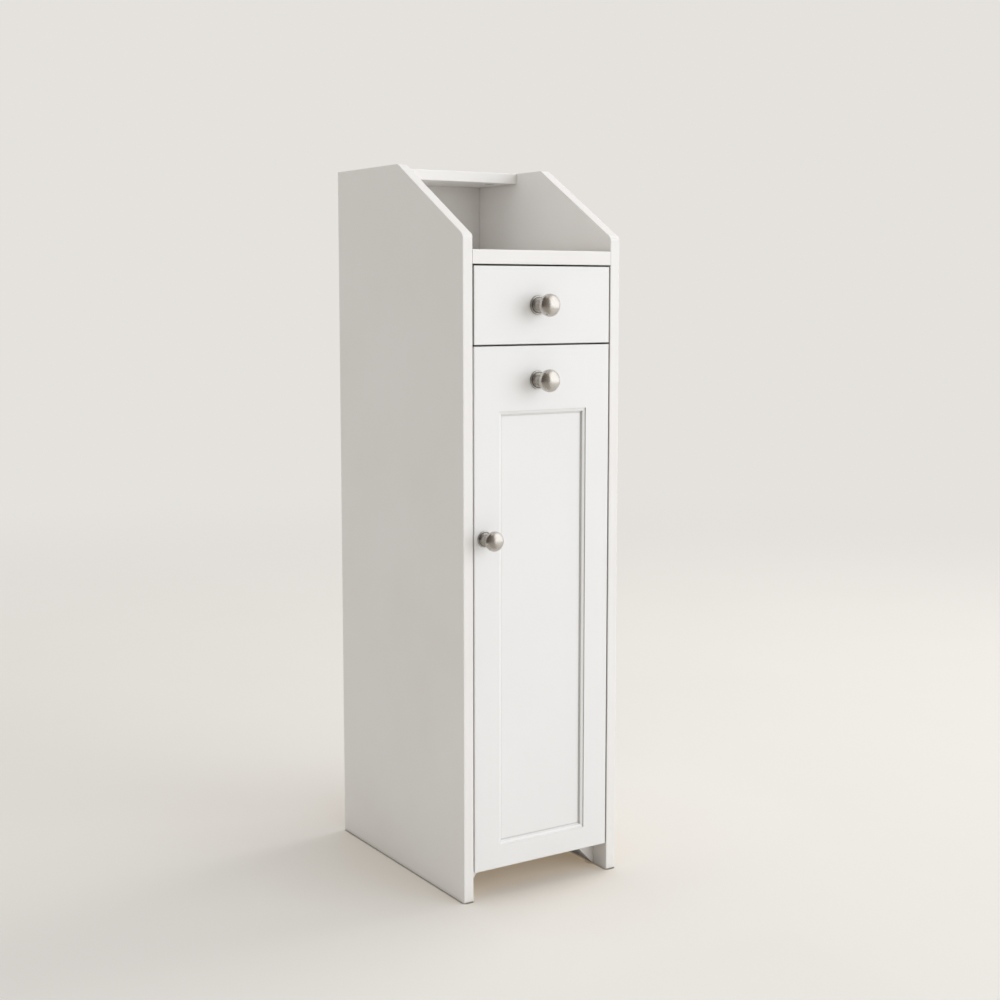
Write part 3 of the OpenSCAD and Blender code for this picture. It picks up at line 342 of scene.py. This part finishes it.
# Sprayed satin paint: orange peel, a slow unevenness in the gloss and a faint drift in tone
sprayed_paint, start, end = open_group(
    "sprayed_paint",
    {"Paint": ("Color", (0.8, 0.8, 0.8, 1)), "Shade": ("Color", (0.7, 0.7, 0.7, 1)),
     "Gloss Drift": ("Float", 0.08), "Base Roughness": ("Float", 0.4)},
    {"Colour": "Color", "Roughness": "Float", "Height": "Float"})
place = own_place(sprayed_paint)
drift = remap(sprayed_paint, noise(sprayed_paint, place, 7.0, 3.0), 0.35, 0.7)
peel = noise(sprayed_paint, place, 620.0, 1.5)
flow = noise(sprayed_paint, place, 55.0, 2.0)
specks = add(sprayed_paint, "ShaderNodeTexVoronoi", {"Vector": place, "Scale": 160.0}).outputs["Distance"]
speck = remap(sprayed_paint, specks, 0.10, 0.02)
sprayed_paint.links.new(blend_colours(sprayed_paint, drift, start["Paint"], start["Shade"]), end["Colour"])
uneven = sum_up(sprayed_paint, "SUBTRACT", flow, 0.5)
uneven = sum_up(sprayed_paint, "MULTIPLY_ADD", uneven, start["Gloss Drift"], start["Base Roughness"])
sprayed_paint.links.new(uneven, end["Roughness"])
height = sum_up(sprayed_paint, "MULTIPLY_ADD", flow, 1.2, peel)
height = sum_up(sprayed_paint, "MULTIPLY_ADD", speck, 0.5, height)
sprayed_paint.links.new(height, end["Height"])


def cover(tree, base, mask, share, over):
    """Lays a share of one colour over another where the mask says."""
    return blend_colours(tree, sum_up(tree, "MULTIPLY", mask, share), base, over)


def close_surface(tree, output, base, gloss, height, relief, depth, **plain):
    """Ends a material with its fine relief and its surface. Plain values go on its own sockets."""
    bump = add(tree, "ShaderNodeBump", {"Strength": relief, "Distance": depth, "Height": height})
    shader = add(tree, "ShaderNodeBsdfPrincipled",
                 {"Base Color": base, "Roughness": gloss, "Normal": bump.outputs[0], **plain})
    tree.links.new(shader.outputs[0], output.inputs["Surface"])


# Colours of the painted shade lines in inner corners and of the painted shade in gaps
soft_shade_line_colour = colour(216, 214, 210)
deep_shade_line_colour = colour(150, 147, 142)
gap_shade_colour = colour(52, 47, 42)


def paint_material(name, paint, shade, edge_highlight, dust_and_shade_colour, roughness, highlight_share, shade_lines, reach=0.005, dust_and_shade_share=0.22):
    """Satin paint on fibreboard, with painted highlights on edges, dust and painted shade in corners, painted
    shade lines there, and painted shade in gaps.
    """
    material, tree, output = open_material(name)
    film = use_group(tree, sprayed_paint, {"Paint": paint, "Shade": shade, "Base Roughness": roughness})
    edge_mask = use_group(tree, edge_wear_and_highlight, {"Width": 0.0014})["Mask"]
    dust_and_shade_mask = use_group(tree, corner_dust_and_shade, {"Reach": 0.022})["Mask"]
    corner_shade = use_group(tree, corner_shade_line, {"Reach": reach})
    gap_shade_mask = use_group(tree, gap_shade)["Mask"]
    # Painted highlight along the edges
    base = cover(tree, film["Colour"], edge_mask, highlight_share, edge_highlight)
    # Dust and painted shade in the inner corners
    base = cover(tree, base, dust_and_shade_mask, dust_and_shade_share, dust_and_shade_colour)
    # Painted shade lines in the inner corners
    base = cover(tree, base, corner_shade["Soft"], shade_lines, soft_shade_line_colour)
    base = cover(tree, base, corner_shade["Deep"], shade_lines, deep_shade_line_colour)
    # Painted shade inside narrow gaps
    base = blend_colours(tree, gap_shade_mask, base, gap_shade_colour)
    gloss = sum_up(tree, "MULTIPLY_ADD", edge_mask, -0.06, film["Roughness"])
    gloss = sum_up(tree, "MULTIPLY_ADD", dust_and_shade_mask, 0.12, gloss)
    close_surface(tree, output, base, gloss, film["Height"], relief=0.35, depth=0.00006, IOR=1.48)
    return material


def dress(nodes, material):
    """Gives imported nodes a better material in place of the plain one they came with."""
    for node in nodes:
        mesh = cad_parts[node].data
        mesh.materials.clear()
        mesh.materials.append(material)


# Painted highlight on the edges, dust with painted shade and faint painted shade lines in the corners
board_paint = paint_material(
    "board_paint", paint=colour(243, 241, 239), shade=colour(240, 237, 234), edge_highlight=colour(252, 251, 250),
    dust_and_shade_colour=colour(196, 190, 180), roughness=0.42, highlight_share=0.8, shade_lines=0.2)
dress(["side_panel_left", "side_panel_right"], board_paint)

# ---------------------------------------------------------------- Tray shelf, top board, inner boards
# Fibreboard between the side panels, painted with them: the 15 mm tray shelf, the narrow board
# along the top of the back, the divider under the drawer, the bottom board with the plinth rail
# under its front, and two loose shelves.
dress(["tray_shelf", "top_board", "divider_board", "bottom_board", "plinth_rail"], board_paint)
inner_paint = paint_material(
    "inner_paint", paint=colour(238, 236, 232), shade=colour(235, 232, 227), edge_highlight=colour(243, 240, 236),
    dust_and_shade_colour=colour(190, 184, 174), roughness=0.5, highlight_share=0.6, shade_lines=0.2)
dress(["shelf_upper", "shelf_lower"], inner_paint)

# ---------------------------------------------------------------- Back panel
# Thin hardboard that slides in grooves in the sides. Its inner face is painted white, and its rear
# face is the bare brown board, with short pressed fibres.
upright_fibres = (520.0, 300.0, 95.0)
crossing_fibres = (110.0, 300.0, 480.0)
hardboard_fibre, start, end = open_group(
    "hardboard_fibre",
    {"Light": ("Color", (0.3, 0.2, 0.1, 1)), "Dark": ("Color", (0.2, 0.1, 0.05, 1))},
    {"Colour": "Color", "Height": "Float"})
place = own_place(hardboard_fibre)
layers = []
for stretch in (upright_fibres, crossing_fibres):
    drawn = add(hardboard_fibre, "ShaderNodeMapping", {"Vector": place, "Scale": stretch}).outputs[0]
    layers.append(noise(hardboard_fibre, drawn, 1.0, 5.0, 1.6))
cloud = noise(hardboard_fibre, place, 9.0, 4.0)
fibres = sum_up(hardboard_fibre, "MAXIMUM", layers[0], layers[1])
tone = remap(hardboard_fibre, sum_up(hardboard_fibre, "MULTIPLY_ADD", cloud, 0.6, fibres), 0.65, 1.15)
hardboard_fibre.links.new(blend_colours(hardboard_fibre, tone, start["Dark"], start["Light"]), end["Colour"])
hardboard_fibre.links.new(fibres, end["Height"])

# Which way a face looks, so that one board can be painted on one side only
faces_rear, start, end = open_group("faces_rear", {"From": ("Float", 0.5)}, {"Mask": "Float"})
facing = add(faces_rear, "ShaderNodeNewGeometry").outputs["Normal"]
rearward = add(faces_rear, "ShaderNodeSeparateXYZ", {0: facing}).outputs["Y"]
faces_rear.links.new(sum_up(faces_rear, "GREATER_THAN", rearward, start["From"]), end["Mask"])

back_material, tree, output = open_material("painted_hardboard")
film = use_group(tree, sprayed_paint, {"Paint": colour(246, 244, 241), "Shade": colour(242, 240, 236),
                                       "Base Roughness": 0.5})
board = use_group(tree, hardboard_fibre, {"Light": colour(164, 124, 84), "Dark": colour(118, 82, 50)})
rear = use_group(tree, faces_rear)["Mask"]
dust_and_shade_mask = use_group(tree, corner_dust_and_shade, {"Reach": 0.025})["Mask"]
base = blend_colours(tree, rear, film["Colour"], board["Colour"])
# Dust and painted shade in the corners
base = cover(tree, base, dust_and_shade_mask, 0.25, colour(150, 142, 130))
gloss = sum_up(tree, "MULTIPLY_ADD", rear, 0.2, film["Roughness"])
height = add(tree, "ShaderNodeMix", {"Factor": rear, "A": film["Height"], "B": board["Height"]})
close_surface(tree, output, base, gloss, height.outputs["Result"], relief=0.5, depth=0.0001, IOR=1.47)
dress(["back_panel"], back_material)

# ---------------------------------------------------------------- Steel fixings
# Cam locks, cam bolts, screws, pins and the catch's plates are small steel parts with a thin zinc
# coat, greyer with grime and painted shade in their recesses and rubbed bright on their edges.
zinc_coat, start, end = open_group(
    "zinc_coat",
    {"Bright": ("Color", (0.7, 0.7, 0.7, 1)), "Dull": ("Color", (0.5, 0.5, 0.5, 1))},
    {"Colour": "Color", "Roughness": "Float", "Height": "Float"})
place = own_place(zinc_coat)
grains = add(zinc_coat, "ShaderNodeTexVoronoi", {"Vector": place, "Scale": 1400.0}).outputs["Color"]
grain = add(zinc_coat, "ShaderNodeSeparateColor", {"Color": grains}).outputs[0]
bloom = noise(zinc_coat, place, 160.0, 4.0)
coat_mix = sum_up(zinc_coat, "MULTIPLY_ADD", grain, 0.3, bloom)
zinc_coat.links.new(blend_colours(zinc_coat, coat_mix, start["Dull"], start["Bright"]), end["Colour"])
zinc_coat.links.new(sum_up(zinc_coat, "MULTIPLY_ADD", bloom, 0.22, 0.26), end["Roughness"])
zinc_coat.links.new(sum_up(zinc_coat, "MULTIPLY_ADD", grain, 0.2, bloom), end["Height"])


def coated_metal(name, bright, dull, grime_and_shade):
    """Plated steel: coat tone, worn edges, and grime with painted shade in the recesses."""
    material, tree, output = open_material(name)
    coat = use_group(tree, zinc_coat, {"Bright": bright, "Dull": dull})
    edge_mask = use_group(tree, edge_wear_and_highlight, {"Width": 0.0004, "Breakup": 900.0})["Mask"]
    dust_and_shade_mask = use_group(tree, corner_dust_and_shade, {"Reach": 0.003})["Mask"]
    base = cover(tree, coat["Colour"], edge_mask, 0.7, bright)
    # Grime and painted shade in the recesses
    base = cover(tree, base, dust_and_shade_mask, 0.6, grime_and_shade)
    close_surface(tree, output, base, coat["Roughness"], coat["Height"], relief=0.25, depth=0.00004,
                  Metallic=1.0)
    return material


zinc = coated_metal("zinc_plate", bright=colour(206, 208, 211), dull=colour(172, 176, 182),
                    grime_and_shade=colour(96, 92, 86))
dress(["cam_locks", "cam_bolts", "drawer_cam_locks", "drawer_cam_bolts", "shelf_pins",
       "back_panel_pins", "drawer_bottom_pins", "runner_screws", "plinth_screws", "hinge_arm_screws",
       "hinge_cup_screws", "catch_screws", "catch_pole_plates", "strike_plate",
       "strike_plate_screw", "door_knob_screws", "drawer_knob_screw", "drawer_back_screws",
       "hinge_pins"], zinc)

# ---------------------------------------------------------------- Dowels and runner strips
# Beech: fluted dowels glued into the boards, and two planed strips screwed to the sides, which the
# grooves of the drawer's sides slide on. The grain runs along each piece.
beech_grain, start, end = open_group(
    "beech_grain",
    {"Light": ("Color", (0.6, 0.4, 0.25, 1)), "Dark": ("Color", (0.4, 0.25, 0.13, 1)),
     "Along": ("Vector", (1.0, 1.0, 1.0))},
    {"Colour": "Color", "Roughness": "Float", "Height": "Float"})
run = add(beech_grain, "ShaderNodeVectorMath", {0: own_place(beech_grain), 1: start["Along"]},
          operation="MULTIPLY").outputs[0]
band = remap(beech_grain, noise(beech_grain, run, 90.0, 3.0, 0.6), 0.3, 0.7)
fleck = remap(beech_grain, noise(beech_grain, run, 900.0, 2.0), 0.55, 0.72)
tone = sum_up(beech_grain, "MULTIPLY_ADD", fleck, 0.45, sum_up(beech_grain, "MULTIPLY", band, 0.6))
beech_grain.links.new(blend_colours(beech_grain, tone, start["Light"], start["Dark"]), end["Colour"])
beech_grain.links.new(sum_up(beech_grain, "MULTIPLY_ADD", fleck, 0.15, 0.55), end["Roughness"])
beech_grain.links.new(sum_up(beech_grain, "MULTIPLY_ADD", fleck, -0.6, band), end["Height"])


def beech_material(name, along):
    """Bare planed beech with its grain along one axis."""
    material, tree, output = open_material(name)
    grain = use_group(tree, beech_grain, {"Light": colour(224, 190, 146), "Dark": colour(188, 146, 102),
                                          "Along": along})
    dust_and_shade_mask = use_group(tree, corner_dust_and_shade, {"Reach": 0.01})["Mask"]
    # Dust and painted shade in the corners
    base = cover(tree, grain["Colour"], dust_and_shade_mask, 0.3, colour(130, 104, 76))
    close_surface(tree, output, base, grain["Roughness"], grain["Height"], relief=0.4, depth=0.00008,
                  IOR=1.5)
    return material


dress(["board_dowels"], beech_material("beech_dowel", (0.06, 1.0, 1.0)))
lengthwise_beech = beech_material("beech_strip", (1.0, 0.05, 1.0))
dress(["runner_strip_left", "runner_strip_right", "drawer_dowels"], lengthwise_beech)

# ---------------------------------------------------------------- Hinges
# Two small concealed hinges. The arm is a pressed steel strip that wraps round the door's edge from
# its plate on the side panel to a pin in the cup, which is sunk in the door. Arm and cup are nickel
# plated.
nickel_plate = coated_metal("nickel_plate", bright=colour(214, 210, 203), dull=colour(196, 191, 183),
                            grime_and_shade=colour(88, 82, 74))
dress(["hinge_arm_upper", "hinge_arm_lower", "hinge_cup_upper", "hinge_cup_lower"], nickel_plate)

# ---------------------------------------------------------------- Magnetic catch
# A moulded white case under the divider holds a dark ferrite magnet between two steel plates. The
# plates meet a steel strike plate on the door's top rail.
moulded_grain, start, end = open_group(
    "moulded_grain",
    {"Tone": ("Color", (0.8, 0.8, 0.8, 1)), "Deep": ("Color", (0.7, 0.7, 0.7, 1)),
     "Size": ("Float", 1500.0)},
    {"Colour": "Color", "Height": "Float"})
place = own_place(moulded_grain)
pits = noise(moulded_grain, place, start["Size"], 3.0)
swirl = noise(moulded_grain, place, 120.0, 2.0)
moulded_grain.links.new(blend_colours(moulded_grain, swirl, start["Tone"], start["Deep"]), end["Colour"])
moulded_grain.links.new(pits, end["Height"])


def moulded_material(name, tone, deep, roughness, depth):
    """Fine-grained moulded or sintered material."""
    material, tree, output = open_material(name)
    grain = use_group(tree, moulded_grain, {"Tone": tone, "Deep": deep})
    edge_mask = use_group(tree, edge_wear_and_highlight, {"Width": 0.0005, "Breakup": 700.0})["Mask"]
    base = cover(tree, grain["Colour"], edge_mask, 0.3, deep)
    gloss = sum_up(tree, "MULTIPLY_ADD", grain["Height"], 0.1, roughness)
    close_surface(tree, output, base, gloss, grain["Height"], relief=0.4, depth=depth)
    return material


plastic = moulded_material("white_plastic", tone=colour(236, 235, 230), deep=colour(228, 226, 220),
                           roughness=0.4, depth=0.00003)
ferrite = moulded_material("ferrite", tone=colour(58, 57, 58), deep=colour(38, 37, 38),
                           roughness=0.6, depth=0.00008)
dress(["catch_case"], plastic)
dress(["catch_magnet"], ferrite)

# ---------------------------------------------------------------- Door
# A fibreboard frame with a moulding run on its inner edge: the rails are coped over the stiles, and
# a thin panel sits in the frame's groove. The whole front is sprayed after it is glued up. Painted
# shade lines lie in the inner corners, most on the right stile and the panel, and dust with painted
# shade in the corners of the right stile and the top rail; the edges carry a faint painted highlight.
front_coat = {"paint": colour(241, 240, 239), "shade": colour(239, 238, 237), "edge_highlight": colour(254, 254, 253),
              "dust_and_shade_colour": colour(186, 181, 173), "roughness": 0.38}
door_highlight_share = 0.16
# Per piece: share of painted shade lines, their reach, and share of dust with painted shade
for piece, shade_lines, reach, dust_and_shade_share in (
        ("door_stile_left", 0.0, 0.005, 0.0), ("door_stile_right", 0.85, 0.005, 0.22),
        ("door_rail_top", 0.3, 0.004, 0.06), ("door_rail_bottom", 0.0, 0.004, 0.0),
        ("door_panel", 0.9, 0.0024, 0.0)):
    dress([piece], paint_material(piece + "_paint", **front_coat, highlight_share=door_highlight_share, shade_lines=shade_lines,
                                  reach=reach, dust_and_shade_share=dust_and_shade_share))

# ---------------------------------------------------------------- Knobs
# Turned knobs in satin nickel: two large ones on the drawer and the door's top rail and a smaller
# one on the stile. Each has a stepped rose against the paint and is held by a screw from behind.
# The profiles are in millimetres: distance from the knob's axis and distance out of the front.
MM = 0.001
rose_outer = 9.8
foot_height = 2.4
knob_top = 30.0
head_radius = 12.1
head_middle = 22.4
points_around = 112
crease_angle = 38
stile_knob_share = 0.88


def arc(centre, size, first, last, steps=12):
    """Points on a round or oval arc, with its angles in degrees from the outward direction."""
    angles = [math.radians(first + (last - first) * i / steps) for i in range(steps + 1)]
    return [(centre[0] + size[0] * math.cos(a), centre[1] + size[1] * math.sin(a)) for a in angles]


def sweep_between(first, pull, last, steps=14):
    """Points on a curve that leaves one point towards pull and arrives at another from it."""
    made = []
    for i in range(steps + 1):
        t = i / steps
        made.append(tuple((1 - t) ** 2 * a + 2 * t * (1 - t) * b + t * t * c
                          for a, b, c in zip(first, pull, last)))
    return made


rose_profile = (
    [(2.6, 0.0), (rose_outer, 0.0)]
    + arc((rose_outer - 0.8, 0.9), (0.8, 0.8), 0, 90)
    + arc((8.35, 1.7), (0.5, 0.55), 0, -180, 10)
    + arc((7.2, 2.0), (0.65, 0.7), 0, 90)
    + arc((6.85, 2.65), (0.25, 0.25), 0, -90, 5)
    + [(2.6, foot_height)]
)
knob_profile = (
    [(2.2, foot_height), (6.6, foot_height)]
    + arc((6.55, 2.95), (0.4, 0.45), -60, 90, 8)
    + sweep_between((6.3, 3.6), (5.3, 8.7), (6.3, 13.2))
    + [(6.7, 13.35), (7.35, 13.9), (7.65, 14.6), (7.7, 15.0)]
    + sweep_between((7.8, 15.6), (11.8, 16.4), (head_radius, head_middle), 18)[:-1]
    + arc((0, head_middle), (head_radius, knob_top - head_middle), 0, 90, 26)
)


def turned(name, profile, share, foot):
    """Turns a profile round the axis that stands out of the fronts, from its foot on the paint."""
    around = range(points_around)
    scale = share * MM
    closed = profile[-1][0] < 1e-6
    rows = profile[:-1] if closed else profile
    turns = [2 * math.pi * k / points_around for k in around]
    points = [(radius * scale * math.cos(a), radius * scale * math.sin(a), out * scale)
              for radius, out in rows for a in turns]
    faces = []
    for row in range(len(rows) - 1):
        low = row * points_around
        high = low + points_around
        for k in around:
            after = (k + 1) % points_around
            faces.append((low + k, low + after, high + after, high + k))
    last = (len(rows) - 1) * points_around
    if closed:
        points.append((0, 0, profile[-1][1] * scale))
        faces += [(last + k, last + (k + 1) % points_around, len(points) - 1) for k in around]
        faces.append(tuple(around)[::-1])
    else:
        for k in around:
            after = (k + 1) % points_around
            faces.append((last + k, last + after, after, k))
    mesh = bpy.data.meshes.new(name)
    mesh.from_pydata(points, [], faces)
    mesh.validate()
    for face in mesh.polygons:
        face.use_smooth = True
    mesh.set_sharp_from_angle(angle=math.radians(crease_angle))
    piece = bpy.data.objects.new(name, mesh)
    piece.location = foot
    piece.rotation_euler = (math.pi / 2, 0, 0)
    bpy.context.collection.objects.link(piece)
    return piece


# Fine rings that the lathe leaves, with a soft satin haze over them
turned_satin, start, end = open_group(
    "turned_satin",
    {"Metal": ("Color", (0.6, 0.57, 0.52, 1)), "Tarnish": ("Color", (0.4, 0.37, 0.32, 1)),
     "Ring Size": ("Float", 5200.0)},
    {"Colour": "Color", "Roughness": "Float", "Height": "Float"})
place = own_place(turned_satin)
parts = add(turned_satin, "ShaderNodeSeparateXYZ", {0: place}).outputs
flat = add(turned_satin, "ShaderNodeCombineXYZ", {"X": parts["X"], "Y": parts["Y"]}).outputs[0]
radius = add(turned_satin, "ShaderNodeVectorMath", {0: flat}, operation="LENGTH").outputs["Value"]
ring_place = add(turned_satin, "ShaderNodeCombineXYZ", {"X": radius, "Y": parts["Z"]}).outputs[0]
rings = noise(turned_satin, ring_place, start["Ring Size"], 2.0)
haze = remap(turned_satin, noise(turned_satin, place, 130.0, 4.0), 0.45, 0.75)
turned_satin.links.new(cover(turned_satin, start["Metal"], haze, 0.35, start["Tarnish"]), end["Colour"])
soft = sum_up(turned_satin, "MULTIPLY_ADD", rings, 0.1, 0.21)
turned_satin.links.new(sum_up(turned_satin, "MULTIPLY_ADD", haze, 0.08, soft), end["Roughness"])
turned_satin.links.new(rings, end["Height"])

satin_nickel, tree, output = open_material("satin_nickel")
lathe = use_group(tree, turned_satin, {"Metal": colour(204, 200, 195), "Tarnish": colour(166, 159, 150)})
edge_mask = use_group(tree, edge_wear_and_highlight, {"Width": 0.0005, "Breakup": 600.0})["Mask"]
# Grime and painted shade, nearly black, in the grooves of the rose and the creases of the knob
grime_and_shade = remap(tree, use_group(tree, corner_dust_and_shade, {"Reach": 0.004})["Mask"], 0.18, 0.5)
base = cover(tree, lathe["Colour"], edge_mask, 0.5, colour(222, 219, 214))
base = cover(tree, base, grime_and_shade, 0.92, colour(38, 32, 26))
gloss = sum_up(tree, "MULTIPLY_ADD", grime_and_shade, 0.2, lathe["Roughness"])
close_surface(tree, output, base, gloss, lathe["Height"], relief=0.18, depth=0.00002, Metallic=1.0)

for knob, body, share in (("drawer_knob", "drawer", 1.0), ("door_rail_knob", "door", 1.0),
                          ("door_stile_knob", "door", stile_knob_share)):
    low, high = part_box(knob + "_rose")
    foot = Vector(((low.x + high.x) / 2, high.y, (low.z + high.z) / 2))
    for node, profile in ((knob, knob_profile), (knob + "_rose", rose_profile)):
        piece = turned(node + "_turned", profile, share, foot)
        piece.data.materials.append(satin_nickel)
        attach(piece, body)
        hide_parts(node)

# ---------------------------------------------------------------- Drawer
# The front is a fibreboard slab painted with the door. Behind it is a box of white foiled board
# with a thin bottom in grooves; its sides are grooved outside for the runner strips.
foil_sheen, start, end = open_group(
    "foil_sheen",
    {"Foil": ("Color", (0.8, 0.8, 0.78, 1)), "Fade": ("Color", (0.75, 0.75, 0.73, 1))},
    {"Colour": "Color", "Roughness": "Float", "Height": "Float"})
place = own_place(foil_sheen)
drawn = add(foil_sheen, "ShaderNodeMapping", {"Vector": place, "Scale": (700.0, 60.0, 700.0)}).outputs[0]
pores = noise(foil_sheen, drawn, 1.0, 3.0)
faded = noise(foil_sheen, place, 12.0, 2.0)
foil_sheen.links.new(blend_colours(foil_sheen, faded, start["Foil"], start["Fade"]), end["Colour"])
foil_sheen.links.new(sum_up(foil_sheen, "MULTIPLY_ADD", pores, 0.14, 0.42), end["Roughness"])
foil_sheen.links.new(pores, end["Height"])

foil, tree, output = open_material("white_foil")
sheet = use_group(tree, foil_sheen, {"Foil": colour(234, 232, 227), "Fade": colour(229, 226, 220)})
dust_and_shade_mask = use_group(tree, corner_dust_and_shade, {"Reach": 0.02})["Mask"]
edge_mask = use_group(tree, edge_wear_and_highlight, {"Width": 0.0012})["Mask"]
# Dust and painted shade in the corners
base = cover(tree, sheet["Colour"], dust_and_shade_mask, 0.25, colour(182, 175, 164))
base = cover(tree, base, edge_mask, 0.3, colour(214, 206, 192))
close_surface(tree, output, base, sheet["Roughness"], sheet["Height"], relief=0.3, depth=0.00005)
dress(["drawer_side_left", "drawer_side_right", "drawer_back", "drawer_bottom"], foil)
# A painted highlight on its edges, painted shade lines and dust with painted shade in its corners
dress(["drawer_front"], paint_material("front_paint", **front_coat, highlight_share=0.8, shade_lines=0.85))
